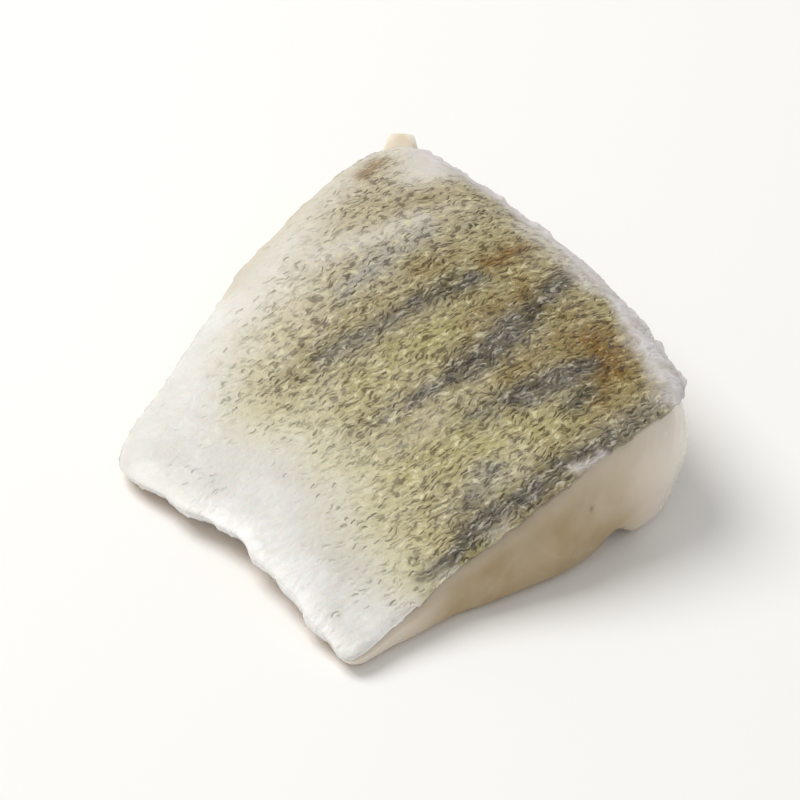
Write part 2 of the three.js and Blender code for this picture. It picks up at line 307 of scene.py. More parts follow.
# Skin: a closed layer over the whole top, with pressed-in scale pockets and the pattern as masks.
skinLook = {
    "cellsAlong": 316, "cellsAcross": 268, "underStep": 4, "thickness": 0.86, "sink": 0.05,
    # share of the fringe's reach, depth below the top and tone of the cut edge, ring by ring
    "edgeRings": ((0.5, -0.02, 0.2), (0.85, 0.14, 0.7), (1.0, 0.36, 1.0), (0.85, 0.6, 1.0), (0.0, 0.86, 1.0)),
    "fringe": (0.35, 1.15), "fringeLeast": 0.1, "raggedBelly": 0.5, "raggedCuts": 0.5,
    "dorsalCalm": 0.65, "bellyHang": 2.4, "iceLumps": 0.36, "fringeFrost": 0.85,
    "swell": 0.13, "grain": 0.05, "grainStretch": (1.8, 0.8), "bellyRelief": 0.45, "rimWidth": 0.8,
    # scale pockets: places, sizes, and how they turn, bow and thin out
    "pocketSeed": 7, "pocketPitch": (1.05, 1.35), "pocketJitter": 0.3, "pocketWindow": 8,
    "pocketHalfLength": (0.4, 0.95), "pocketShorten": 0.55, "pocketHalfWidth": 0.18,
    "ridgeOffset": 0.42, "ridgeHalfWidth": 0.24, "pocketDepth": 0.08, "ridgeHeight": 0.06,
    "pocketTurn": (0.1, 0.28), "pocketBow": (0.25, 0.25), "pocketStrength": (0.45, 1.0),
    "pocketShare": (-0.12, 1.0), "clumpShare": 0.75, "clumpStrength": 0.45, "faintPocket": 0.06,
    # how far the pattern wanders, and how it fades towards the belly and the far cut
    "warp": 2.2, "warpFine": 0.8, "fadeStart": -10.5, "fadeWidth": 24, "fadeWander": 4.0,
    "fadeLine": ((-14.0, -13.6), (-5.0, -19.6), (5.0, -15.0), (15.0, -16.0), (25.0, -18.0),
                 (35.0, -20.4), (38.5, -19.0)),
    "farFadeRate": 1.1, "farFadeSlope": (0.85, 0.526), "farFadeFrom": (-29.6, 13),
    "barStretch": (1.6, 0.7), "barRagged": (0.55, 0.9), "barGain": 1.25,
    # painted light: how far the skin is painted lighter towards the far cut, and how the edge of that wanders
    "paintedLightReach": (2, -32), "paintedLightWander": 8,
    "icyReach": (-14, 6), "icyWidth": (0.02, 0.16), "icyWander": 0.1,
    "icyCornerX": (28, 38), "icyCornerY": (-27, -16),
    # width of the ice along the dorsal edge: x, width
    "edgeIce": ((-40, 2.2), (-28, 1.0), (-14, 1.4), (0, 2.2), (8, 3.2), (18, 5.6), (26, 6.2), (33, 5.0)),
    "edgeIceRange": (0.7, 0.8), "edgeIceFade": (0.45, 1.1), "frostRange": (0.5, 0.7),
    "clouds": {
        "warpX": (7, 31, 3), "warpY": (7, 36, 3), "warpFine": (2.0, 41, 3), "fade": (6, 51, 3),
        "bars": (2.2, 61, 3), "edgeIce": (4, 71, 3), "frost": (1.6, 75, 3), "paintedLight": (14, 78, 3),
        "icyEdge": (5, 79, 3), "clump": (4, 151, 3), "swell": (6, 81, 4), "lumps": (1.5, 85, 2),
        "grain": (1.3, 91, 2), "hem": (2.4, 161, 3), "notch": (1.3, 171, 2), "fringe": (3.2, 165, 3),
    },
    # the pattern as soft strokes: half width, strength, and points in mm from the frame's origin
    "strokes": {
        "bars": (
            (2.2, 0.7, (-3.4, 18.5), (-4, 15), (-4.5, 9)), (2.1, 0.6, (-4.5, 9), (-4.8, 0), (-5.6, -6)),
            (2.2, 0.1, (-5.6, -6), (-5.4, -12)), (2.0, 0.8, (3.4, 31.5), (5.2, 26.5), (8, 20)),
            (2.7, 0.9, (8, 19), (9.6, 13), (10.2, 8)), (1.8, 0.3, (9.2, 14.6), (9.9, 11.6)),
            (1.6, 0.8, (10.4, 7.5), (10, -1)), (1.5, 0.18, (9.9, -1), (9, -6), (8.5, -13)),
            (2.3, 1.0, (21.2, 20.5), (20.5, 14), (19.6, 9)), (2.0, 0.5, (19.6, 9), (18.2, 3.5)),
            (1.8, 0.75, (25.4, 17.6), (26.2, 14)), (2.4, 0.5, (22, 17.5), (25, 16)),
            (2.2, 0.2, (31.5, 28), (33.5, 21)), (2.3, 0.5, (33.8, 20), (34.6, 16)),
            (2.5, 0.8, (34.6, 15), (34.8, 12), (34.9, 2)), (2.1, 1.0, (34.9, 2), (34.2, -6), (35.2, -10)),
            (1.3, 0.85, (35.2, -10), (36.4, -13), (36.3, -18)), (1.5, 0.5, (-21, 36), (-29.5, 35.6)),
            (2.3, 0.52, (30.6, -6), (28.2, -1)),
        ),
        "smears": (
            (2.3, 1.0, (-16.4, 19.5), (-15.2, 12), (-13.8, 3)), (2.4, 0.35, (-15, 30), (-13.5, 24.5)),
            (2.2, 0.65, (33, 24), (34.2, 19)),
        ),
        "pales": (
            (1.9, 0.7, (-10, 33), (0, 33), (7, 32.4)), (2.2, 0.3, (-18.3, 28), (-19, 20)),
            (2.6, 0.75, (-19, 20), (-20.4, 8), (-21, 4.5)),
            (4.0, 1.0, (-37.5, 33.5), (-32, 31), (-28, 27.5)), (4.0, 0.25, (-14, -14), (-22, -6)),
        ),
        # no pattern in the far dorsal corner
        "bares": ((3.6, 0.85, (-40, 35), (-32.5, 32), (-28.5, 30)),),
        "golds": (
            (4.0, 1.0, (17, 25), (20.5, 24.4), (24, 22.6)), (2.6, 0.7, (20.5, 21.5), (26.5, 20.2)),
            (2.6, 0.6, (15.6, 22.4), (18.4, 21)), (2.8, 0.45, (11, 26), (15, 25.2)),
            (2.6, 0.65, (25.5, 20.5), (28.6, 17.5)), (1.8, 1.0, (-5, 29), (-5, 22.5)),
            (1.7, 0.4, (-9.8, 19.5), (-9.3, 12.5)), (2.2, 0.5, (3.4, 23), (4, 13)),
            (2.5, 0.5, (14, 21), (15.6, 11)), (2.4, 0.35, (29, 24), (29.6, 16)),
            (2.2, 0.3, (-23.4, 25.5), (-22.8, 20)),
        ),
        "rusts": (
            (1.8, 1.0, (-34.8, 24), (-32.6, 20.6)), (1.1, 0.2, (-5.2, 28), (-5, 24.5)),
            (1.5, 0.06, (21.5, 25.5), (23.5, 23.5)),
        ),
        "creams": (
            (1.6, 1.0, (-42, 34.5), (-39.6, 32.6)), (2.6, 0.35, (15.5, -1.5), (14.5, -7)),
            (3.0, 0.8, (-37, 20), (-32.5, 5), (-27, -7)),
        ),
        "lemons": (
            (5.0, 1.0, (24, 3), (20, -9)), (3.4, 0.8, (2, 10), (4, -6)), (3.4, 0.25, (15, 3), (14, -10)),
            (3.0, 0.5, (27, 6), (27.5, 10)), (2.2, 0.6, (-23, 25), (-22.6, 21)),
            (1.6, 0.8, (37.4, -8), (37, -14)), (2.6, 0.6, (31, -14), (33, -19)),
        ),
        # ice along the dorsal edge, inside the rim, and at the near cut
        "frosts": (
            (1.3, 0.45, (-28, 34.6), (-12, 35.2), (0, 34.6), (9, 32.6)), (2.0, 0.7, (29, 29), (33, 26.5)),
            (0.9, 0.6, (36.2, 12.2), (36.6, 8.2)), (0.9, 0.35, (37.2, -5.2), (37, -7.2)),
            (0.8, 0.4, (38.2, -14), (38.4, -16.5)), (1.1, 0.6, (39.4, -21.5), (40.6, -26)),
            (2.6, 0.5, (-34, 34), (-27, 33)),
        ),
        "greys": (
            (3.0, 0.6, (-1, -33.5), (3.5, -32)), (2.0, 0.4, (10.2, 0), (9.2, -6)),
            (2.0, 0.4, (-4.6, 4), (-5, -3)), (3.4, 0.55, (26, -25), (37, -24.5)),
            (1.8, 0.45, (33, -31.5), (37.5, -33)), (1.8, 0.35, (8, -23), (11, -22)),
            (2.6, 0.4, (27, -4), (29.5, -1)),
        ),
    },
}


def gridMesh(name, points, faces):
    mesh = bpy.data.meshes.new(name)
    mesh.from_pydata(((points - shift) / 1000).tolist(), [], faces)
    mesh.update()
    mesh.polygons.foreach_set("use_smooth", np.ones(len(mesh.polygons), dtype=bool))
    piece = bpy.data.objects.new(name, mesh)
    bpy.context.scene.collection.objects.link(piece)
    return piece


def addMask(piece, name, values):
    layer = piece.data.attributes.new(name, "FLOAT", "POINT")
    layer.data.foreach_set("value", np.ascontiguousarray(values, dtype=np.float32))


def rimIndex(along, across):
    # grid places round the rim, anticlockwise from above
    low = [(i, 0) for i in range(along)]
    near = [(along, j) for j in range(across)]
    high = [(i, across) for i in range(along, 0, -1)]
    far = [(0, j) for j in range(across, 0, -1)]
    return tuple(np.array(low + near + high + far).T)


def gridFaces(index, flip=False):
    a, b, c, d = index[:-1, :-1], index[1:, :-1], index[1:, 1:], index[:-1, 1:]
    quads = np.stack([a, d, c, b] if flip else [a, b, c, d], -1)
    return quads.reshape(-1, 4).tolist()


def ringFaces(upper, lower):
    after = np.roll(np.arange(len(upper)), -1)
    return np.stack([upper, lower, lower[after], upper[after]], -1).tolist()


def innerIndex(shape, first):
    # numbers for the inner points of a grid, from the first free one, and how many they are
    inner = (shape[0] - 2, shape[1] - 2)
    index = np.full(shape, -1)
    index[1:-1, 1:-1] = first + np.arange(inner[0] * inner[1]).reshape(inner)
    return index, inner[0] * inner[1]


def coverFaces(index, rim, rimPoints, step, flip=False):
    # closes a coarse grid onto a fine rim, with slivers out to the rim points that it skips
    count = len(rimPoints)
    onGrid = np.arange(0, count, step)
    index[rim[0][onGrid] // step, rim[1][onGrid] // step] = rimPoints[onGrid]
    faces = gridFaces(index, flip)
    turns = range(step, -1, -1) if flip else range(step + 1)
    for at in onGrid:
        faces.append([int(rimPoints[(at + k) % count]) for k in turns])
    return faces


def scatterPockets(x, y):
    # places of the small scale pockets, in staggered rows along the fish
    rng = np.random.default_rng(skinLook["pocketSeed"])
    pitchX, pitchY = skinLook["pocketPitch"]
    cols = np.arange(x.min() - 1, x.max() + 1, pitchX)
    rows = np.arange(y.min() - 1, y.max() + 1, pitchY)
    px, py = np.meshgrid(cols, rows, indexing="ij")
    py = py + pitchY * 0.5 * (np.arange(len(cols)) % 2)[:, None]
    jitter = skinLook["pocketJitter"]
    px = px + rng.normal(0, jitter, px.shape) * pitchX
    py = py + rng.normal(0, jitter, py.shape) * pitchY
    return px.ravel(), py.ravel(), rng


def nearestShares(px, py):
    # shares s and t of places in the plan, by Newton's steps
    rounds, past, tiny, longest = 14, 0.02, 1e-4, 0.3
    s, t = np.full(px.shape, 0.5), np.full(px.shape, 0.5)
    for _ in range(rounds):
        sIn, tIn = np.clip(s, -past, 1 + past), np.clip(t, -past, 1 + past)
        x, y = planPoint(sIn, tIn)
        xs, ys = planPoint(sIn + tiny, tIn)
        xt, yt = planPoint(sIn, tIn + tiny)
        a, b, c, d = (xs - x) / tiny, (xt - x) / tiny, (ys - y) / tiny, (yt - y) / tiny
        det = a * d - b * c
        s = sIn + np.clip((d * (px - x) - b * (py - y)) / det, -longest, longest)
        t = tIn + np.clip((a * (py - y) - c * (px - x)) / det, -longest, longest)
    return s, t


def pocketFields(x, y, pigment, clump):
    # dark groove and ridge of every scale pocket, on the skin's grid; the ridge's light colour is a painted
    # highlight
    look = skinLook
    along, across = x.shape
    px, py, rng = scatterPockets(x, y)
    ps, pt = nearestShares(px + shift[0], py + shift[1])
    outside = 0.01
    keep = (ps > -outside) & (ps < 1 + outside) & (pt > -outside) & (pt < 1 + outside)
    px, py, ps, pt = px[keep], py[keep], ps[keep], pt[keep]
    count = len(px)
    i0 = np.clip(np.rint(ps * (along - 1)).astype(int), 0, along - 1)
    j0 = np.clip(np.rint(pt * (across - 1)).astype(int), 0, across - 1)
    local = pigment[i0, j0]
    half = rng.uniform(*look["pocketHalfLength"], count) * mix(look["pocketShorten"], 1.0, local)
    turn = rng.normal(*look["pocketTurn"], count)
    dense = np.clip(mix(*look["pocketShare"], local) + look["clumpShare"] * clump[i0, j0], 0, 1)
    strength = rng.uniform(*look["pocketStrength"], count)
    strength = strength * np.where(rng.random(count) < dense, 1, look["faintPocket"])
    bow = rng.normal(*look["pocketBow"], count)
    groove, ridgeAndHighlight = np.zeros(x.shape), np.zeros(x.shape)
    window = range(-look["pocketWindow"], look["pocketWindow"] + 1)
    for di in window:
        for dj in window:
            i, j = i0 + di, j0 + dj
            ok = (i >= 0) & (i < along) & (j >= 0) & (j < across)
            i, j = i[ok], j[ok]
            dx, dy = x[i, j] - px[ok], y[i, j] - py[ok]
            c, sn = np.cos(turn[ok]), np.sin(turn[ok])
            u, v = dy * c + dx * sn, dx * c - dy * sn
            v = v - bow[ok] * u * u
            end = np.exp(-(np.abs(u) / half[ok]) ** 4) * strength[ok]
            dark = end * np.exp(-(v / look["pocketHalfWidth"]) ** 2)
            light = end * np.exp(-((v - look["ridgeOffset"]) / look["ridgeHalfWidth"]) ** 2)
            np.maximum.at(groove, (i, j), dark)
            np.maximum.at(ridgeAndHighlight, (i, j), light)
    return groove, ridgeAndHighlight * (1 - groove)


def skinMasks(x, y, t):
    # how strongly each colour of the pattern shows, from 0 to 1
    look = skinLook
    warpX = x + look["warp"] * (haze(look, "warpX", x, y) - 0.5)
    warpX = warpX + look["warpFine"] * (haze(look, "warpFine", x, y) - 0.5)
    warpY = y + look["warp"] * (haze(look, "warpY", x, y) - 0.5)
    masks = {name: drawStrokes(warpX, warpY, strokes) for name, strokes in look["strokes"].items()}

    toBelly = warpY - np.interp(warpX, *zip(*look["fadeLine"]))
    slopeX, slopeY = look["farFadeSlope"]
    fromX, fromY = look["farFadeFrom"]
    toFar = look["farFadeRate"] * (slopeX * (warpX - fromX) + slopeY * (warpY - fromY))
    inside = np.minimum(toBelly, toFar) + look["fadeWander"] * (haze(look, "fade", x, y) - 0.5)
    pigment = np.clip((inside - look["fadeStart"]) / look["fadeWidth"], 0, 1)
    masks["pigment"] = pigment * (1 - masks.pop("bares"))

    stretchX, stretchY = look["barStretch"]
    least, more = look["barRagged"]
    ragged = least + more * haze(look, "bars", x * stretchX, y * stretchY)
    masks["bars"] = np.clip(look["barGain"] * masks["bars"] * ragged, 0, 1)

    least, more = look["edgeIceRange"]
    iceWidth = np.interp(x, *zip(*look["edgeIce"])) * (least + more * haze(look, "edgeIce", x, y))
    edgeIce = 1 - smooth(*look["edgeIceFade"], (1 - t) * form["patchWidth"] / iceWidth)
    least, more = look["frostRange"]
    frost = np.maximum(edgeIce, masks.pop("frosts")) * (least + more * haze(look, "frost", x, y))
    masks["frost"] = np.clip(frost, 0, 1)

    # painted light: the skin lighter towards the far cut, on the side the light comes from
    masks["paintedLight"] = smooth(*look["paintedLightReach"], x + look["paintedLightWander"] * (haze(look, "paintedLight", x, y) - 0.5))
    icyT = t + look["icyWander"] * (haze(look, "icyEdge", x, y) - 0.5)
    icyBelly = smooth(*look["icyReach"], x) * (1 - smooth(*look["icyWidth"], icyT))
    icyCorner = smooth(*look["icyCornerX"], x) * (1 - smooth(*look["icyCornerY"], y))
    masks["icyEdge"] = np.maximum(icyBelly, icyCorner)
    return masks


def buildSkin():
    look = skinLook
    along, across = look["cellsAlong"], look["cellsAcross"]
    s, t = np.meshgrid(np.linspace(0, 1, along + 1), np.linspace(0, 1, across + 1), indexing="ij")
    base, normal = skinPoint(s, t), skinNormal(s, t)
    x, y = base[..., 0] - shift[0], base[..., 1] - shift[1]
    masks = skinMasks(x, y, t)
    clump = masks["greys"] + look["clumpStrength"] * smooth(0.55, 0.8, haze(look, "clump", x, y))
    masks["groove"], masks["ridgeAndHighlight"] = pocketFields(x, y, masks["pigment"], clump)

    # the top, with its pockets, swellings and ice
    nearRim = np.exp(-(edgeDistance(s, t) / look["rimWidth"]) ** 2)
    relief = masks["ridgeAndHighlight"] * look["ridgeHeight"] - masks["groove"] * look["pocketDepth"]
    relief = relief * mix(look["bellyRelief"], 1.0, masks["pigment"]) * (1 - 0.5 * nearRim)
    swell = look["swell"] * 2 * (haze(look, "swell", x, y) - 0.5)
    swell = swell + look["iceLumps"] * masks["frost"] * haze(look, "lumps", x, y)
    stretchX, stretchY = look["grainStretch"]
    swell = swell + look["grain"] * 2 * (haze(look, "grain", x * stretchX, y * stretchY) - 0.5)
    top = base + normal * (relief + swell - look["sink"])[..., None]
    index = np.arange(s.size).reshape(s.shape)
    points, faces = [top.reshape(-1, 3)], gridFaces(index)

    # the edge, ring by ring: ragged at the cuts, hanging at the belly, an icy fringe at the back
    rim = rimIndex(along, across)
    rimS, rimT, rimTop, rimNormal = s[rim], t[rim], top[rim], normal[rim]
    rimX, rimY = rimTop[:, 0], rimTop[:, 1]
    outX, outY = outward(rimS, rimT)
    out = np.stack([outX, outY, np.zeros_like(outX)], -1)
    dorsal, belly = smooth(0.96, 1.0, rimT), 1 - smooth(0.0, 0.04, rimT)
    rough = smooth(0.3, 0.7, haze(look, "hem", rimX, rimY))
    notched = smooth(0.4, 0.75, haze(look, "notch", rimX, rimY)) * (1 - look["dorsalCalm"] * dorsal)
    ragged = mix(look["raggedCuts"] * notched, look["raggedBelly"] * rough, belly)
    icy = dorsal * (1 - smooth(0.97, 1.0, rimS))
    fringe = mix(*look["fringe"], smooth(0.3, 0.7, haze(look, "fringe", rimX, rimY)))
    reach = look["fringeLeast"] + ragged + icy * fringe
    hang = 1 + look["bellyHang"] * (1 - smooth(0.0, 0.09, rimT)) * mix(0.5, 1.0, rough)
    upper, count = index[rim], index.size
    for share, depth, _ in look["edgeRings"]:
        low = depth * mix(1, hang, share)
        points.append(rimTop + out * (reach * share)[:, None] - rimNormal * low[:, None])
        lower = np.arange(count, count + len(rimS))
        faces += ringFaces(upper, lower)
        upper, count = lower, count + len(rimS)

    # the underside is hidden by the flesh, so it is coarse
    step = look["underStep"]
    under = belowSkin(s[::step, ::step], t[::step, ::step], look["thickness"])
    below, hidden = innerIndex(under.shape[:2], count)
    points.append(under[1:-1, 1:-1].reshape(-1, 3))
    faces += coverFaces(below, rim, upper, step, flip=True)
    piece = gridMesh("filletSkin", np.concatenate(points), faces)

    masks["cutEdge"] = np.zeros(x.shape)
    rings = len(look["edgeRings"])
    for name, values in masks.items():
        side = np.tile(values[rim], (rings, 1))
        if name == "frost":
            side = np.maximum(side, look["fringeFrost"] * icy)
        if name == "cutEdge":
            side = np.array([[tone] for _, _, tone in look["edgeRings"]]) * (1 - icy)
        addMask(piece, name, np.concatenate([values.ravel(), side.ravel(), np.zeros(hidden)]))
    return piece


skinPiece = buildSkin()
print("skin:", len(skinPiece.data.vertices), "points")


# Flesh: the thick body under the skin, with its cut faces and its inner side.
fleshLook = {
    "cellsAlong": 160, "cellsAcross": 152, "rings": 40, "topStep": 4,
    "crowding": 1.25,  # finer towards the far dorsal corner, where the small block is
    "swell": 0.22, "pits": 0.05, "calmTop": (0, 0.12), "calmFoot": (0.9, 1.0),
    # thin walls between the flakes of muscle: distance, depth, and how they bend, lean and wander
    "flakePitch": 6.5, "flakeDepth": 0.14, "flakeWidth": 0.055, "flakeCone": 0.85, "flakeWander": 3.6,
    "flakeBends": ((0.0, 0.0), (0.3, 6.5), (0.52, -2.5), (0.78, 5.0), (1.0, -3.0)),
    "bendEvenness": 0.75, "flakeRange": (0.35, 1.0), "nearCutCalm": 0.7,
    "innerFlake": 0.06, "innerSwell": 0.5, "innerEdge": 5, "innerTone": 4,
    # how far the tones of the walls reach: shares along or across, or levels down
    # on the near cut, the tan band is painted shade across its middle, and the lobe tone is painted light at
    # its dorsal lobe and its belly end
    "nearCut": (0.9, 1.0), "shadeTanStart": (0.1, 0.42), "shadeTanEndTop": (0.5, 0.88), "shadeTanEndFoot": (0.74, 0.97),
    "litLobe": (0.76, 0.95), "litBellyLobe": (0.1, 0.3), "litBellyLobeShare": 0.6,
    "tipLevel": (0.08, 0.3), "bellySideShade": (0.0, 0.06),
    # one dark speck on the near cut: share along it, mm below the skin, size
    "speckShare": 0.682, "speckDepth": 4.6, "speckSize": 0.11, "wallHeight": 14,
    "wallPink": 0.25, "pinkWarp": 5,
    "clouds": {
        "flakes": (10, 101, 3), "flakeTone": (5, 111, 3), "swell": (5.5, 121, 3), "pits": (1.7, 131, 2),
        "pinkX": (8, 141, 3), "pinkY": (8, 146, 3), "wallPink": (6, 151, 3),
    },
    # half width, strength, points
    "pinks": (
        (3.2, 0.8, (-30, 12), (-10, 7), (15, 6), (34, 8)), (5.0, 0.5, (-8, -26), (4, -29)),
        (4.5, 0.45, (22, -22), (30, -26)),
    ),
}


def flakeLines(x, t, z):
    # bent lines on the inner side, and arcs on the cuts
    look = fleshLook
    bendT, bendX = zip(*look["flakeBends"])
    share = (1 - np.cos(np.pi * np.clip(t, 0, 1))) * 0.5
    zig = np.interp(mix(share, t, look["bendEvenness"]), bendT, bendX)
    across = t * form["patchWidth"]
    wander = look["flakeWander"] * (haze(look, "flakes", x + 0.9 * z, across + 0.8 * z) - 0.5)
    phase = (x + zig + wander + look["flakeCone"] * z) / look["flakePitch"]
    off = np.abs(phase - np.floor(phase) - 0.5)
    line = np.exp(-((0.5 - off) / look["flakeWidth"]) ** 2)
    return line * mix(*look["flakeRange"], haze(look, "flakeTone", x, across))


def fleshRelief(x, y, z):
    look = fleshLook
    soft = haze(look, "swell", x + 0.6 * z, y + 0.8 * z) - 0.5
    pit = haze(look, "pits", x * 2 + 1.3 * z, y * 2 - 1.1 * z) - 0.5
    return 2 * look["swell"] * soft + 2 * look["pits"] * pit


def wallMasks(s, t, level, lines, x, y):
    # masks of the walls: s and t run round the rim, and level down from the skin
    look = fleshLook
    nearCut = smooth(*look["nearCut"], s)
    aside = (t - look["speckShare"]) * form["patchWidth"]
    down = level * look["wallHeight"] - look["speckDepth"]
    # painted shade across the middle of the near cut, and painted light at its two ends
    shadeTanEnd = smooth(*(mix(top, foot, level) for top, foot in zip(look["shadeTanEndTop"], look["shadeTanEndFoot"])), t)
    litBellyLobe = look["litBellyLobeShare"] * (1 - smooth(*look["litBellyLobe"], t))
    return {
        "level": level, "flake": lines,
        # painted shade (tan) and painted light (lobe) of the near cut
        "shadeTan": nearCut * smooth(*look["shadeTanStart"], t) * (1 - shadeTanEnd),
        "litLobe": nearCut * np.maximum(smooth(*look["litLobe"], t), litBellyLobe),
        "speck": np.exp(-(aside ** 2 + down ** 2) / look["speckSize"]) * nearCut,
        "tip": tipShare(s, t) * (1 - smooth(*look["tipLevel"], level)),
        # painted warm shade along the belly wall, under the skin's edge, over the pale flesh
        "bellySideShade": 1 - smooth(*look["bellySideShade"], t),
        "pink": look["wallPink"] * haze(look, "wallPink", x, y),
        "inside": 0.0,
    }


def innerMasks(x, y, edge, lines):
    look = fleshLook
    warpX = x + look["pinkWarp"] * (haze(look, "pinkX", x, y) - 0.5)
    warpY = y + look["pinkWarp"] * (haze(look, "pinkY", x, y) - 0.5)
    return {"level": 1.0, "flake": lines, "pink": drawStrokes(warpX, warpY, look["pinks"]),
            "inside": smooth(0, look["innerTone"], edge)}


def buildFlesh():
    look = fleshLook
    along, across, rings = look["cellsAlong"], look["cellsAcross"], look["rings"]
    s, t = np.meshgrid(np.linspace(0, 1, along + 1) ** look["crowding"],
                       1 - np.linspace(1, 0, across + 1) ** look["crowding"], indexing="ij")

    # the walls, ring by ring, from the skin down to the foot
    rim = rimIndex(along, across)
    rimS, rimT = s[rim], t[rim]
    outX, outY = outward(rimS, rimT)
    out = np.stack([outX, outY, np.zeros_like(outX)], -1)
    walls = np.arange((rings + 1) * len(rimS)).reshape(rings + 1, len(rimS))
    levels = np.arange(rings + 1) / rings
    points, faces, wallLines = [], [], []
    for ring, level in enumerate(levels):
        place = wallPoint(rimS, rimT, level)
        x, y, z = (place - shift).T
        calm = smooth(*look["calmTop"], level) * (1 - smooth(*look["calmFoot"], level))
        lines = flakeLines(x, rimT, z) * (1 - look["nearCutCalm"] * smooth(*look["nearCut"], rimS))
        relief = calm * (fleshRelief(x, y, z) - look["flakeDepth"] * lines)
        points.append(place + out * relief[:, None])
        wallLines.append(lines)
        if ring:
            faces += ringFaces(walls[ring - 1], walls[ring])
    wallX, wallY, _ = np.moveaxis(np.stack(points), -1, 0)

    # the inner side, which the fillet lies on
    index, inner = innerIndex(s.shape, walls.size)
    index[rim] = walls[-1]
    under = undersidePoint(s, t)
    x, y, z = (under[..., k] - shift[k] for k in range(3))
    lines = flakeLines(x, t, z)
    edge = edgeDistance(s, t)
    lift = look["innerFlake"] * lines + look["innerSwell"] * np.maximum(0, fleshRelief(x, y, z))
    under[..., 2] += smooth(0, look["innerEdge"], edge) * lift
    points.append(under[1:-1, 1:-1].reshape(-1, 3))
    faces += gridFaces(index, flip=True)

    # the top is hidden by the skin, so it is coarse
    step = look["topStep"]
    top = fleshTopPoint(s[::step, ::step], t[::step, ::step])
    cover, hidden = innerIndex(top.shape[:2], walls.size + inner)
    points.append(top[1:-1, 1:-1].reshape(-1, 3))
    faces += coverFaces(cover, rim, walls[0], step)
    piece = gridMesh("filletFlesh", np.concatenate(points), faces)

    below = innerMasks(x, y, edge, lines)
    side = wallMasks(rimS, rimT, levels[:, None], np.stack(wallLines), wallX, wallY)
    for name, values in side.items():
        sideValues = np.broadcast_to(values, walls.shape).ravel()
        innerValues = np.broadcast_to(below.get(name, 0.0), s.shape)[1:-1, 1:-1].ravel()
        addMask(piece, name, np.concatenate([sideValues, innerValues, np.zeros(hidden)]))
    return piece


fleshPiece = buildFlesh()
print("flesh:", len(fleshPiece.data.vertices), "points")


# Materials. Colours are written as a painter would pick them from a screen.
def paint(code):
    parts = [int(code[k:k + 2], 16) / 255 for k in (0, 2, 4)]
    linear = [c / 12.92 if c <= 0.04045 else ((c + 0.055) / 1.055) ** 2.4 for c in parts]
    return (*linear, 1.0)


class nodeBench:
    # places nodes in a tree and joins them
    def __init__(self, tree):
        self.tree = tree
        self.column = 0

    def add(self, kind, values=None, **settings):
        node = self.tree.nodes.new(kind)
        self.column += 1
        node.location = (190 * (self.column % 12), -220 * (self.column // 12))
        for name, value in settings.items():
            setattr(node, name, value)
        for name, value in (values or {}).items():
            self.put(node.inputs[name], value)
        return node

    def put(self, socket, value):
        if isinstance(value, bpy.types.NodeSocket):
            self.tree.links.new(value, socket)
        else:
            socket.default_value = value

    def attribute(self, name):
        return self.add("ShaderNodeAttribute", attribute_name=name).outputs["Fac"]

    def math(self, operation, a, b=0.0, clamp=False):
        return self.add("ShaderNodeMath", {0: a, 1: b}, operation=operation, use_clamp=clamp).outputs[0]

    def times(self, a, b):
        return self.math("MULTIPLY", a, b)

    def plus(self, a, b, clamp=False):
        return self.math("ADD", a, b, clamp)

    def minus(self, a, b, clamp=False):
        return self.math("SUBTRACT", a, b, clamp)

    def highest(self, a, b):
        return self.math("MAXIMUM", a, b)

    def blend(self, share, a, b):
        # the sockets of a colour mix go by number, as their names are used twice
        node = self.add("ShaderNodeMix", {0: share, 6: a, 7: b}, data_type="RGBA", clamp_factor=True)
        return node.outputs[2]

    def ramp(self, value, low, high, start=0.0, end=1.0):
        # a soft step from start to end as the value goes from low to high
        ends = {"Value": value, "From Min": low, "From Max": high, "To Min": start, "To Max": end}
        return self.add("ShaderNodeMapRange", ends, interpolation_type="SMOOTHSTEP").outputs[0]

    def noise(self, scale, detail, roughness, vector):
        return self.add("ShaderNodeTexNoise", {"Scale": scale, "Detail": detail, "Roughness": roughness,
                                               "Vector": vector}).outputs["Fac"]


def openGroup(name, inputs, outputs):
    tree = bpy.data.node_groups.new(name, "ShaderNodeTree")
    for label, value in inputs.items():
        kind = "NodeSocketColor" if isinstance(value, tuple) else "NodeSocketFloat"
        socket = tree.interface.new_socket(name=label, in_out="INPUT", socket_type=kind)
        socket.default_value = value
    for label in outputs:
        kind = "NodeSocketColor" if label == "Color" else "NodeSocketFloat"
        tree.interface.new_socket(name=label, in_out="OUTPUT", socket_type=kind)
    bench = nodeBench(tree)
    inside, outside = bench.add("NodeGroupInput"), bench.add("NodeGroupOutput")
    place = bench.add("ShaderNodeTexCoord").outputs["Object"]
    return tree, bench, inside.outputs, outside.inputs, place


def makeMottleGroup():
    # soft blotches in two sizes, which tint a colour
    tree, bench, given, result, place = openGroup(
        "fleshMottle",
        {"Color": (0.8, 0.8, 0.8, 1), "Tint": (0.6, 0.6, 0.6, 1), "Amount": 0.5,
         "Blotch Scale": 120.0, "Grain Scale": 900.0},
        ("Color",))
    blotch = bench.noise(given["Blotch Scale"], 4.0, 0.6, place)
    grain = bench.noise(given["Grain Scale"], 2.0, 0.5, place)
    mask = bench.ramp(bench.plus(bench.times(blotch, 0.7), bench.times(grain, 0.3)), 0.4, 0.62)
    bench.put(result["Color"], bench.blend(bench.times(mask, given["Amount"]), given["Color"], given["Tint"]))
    return tree


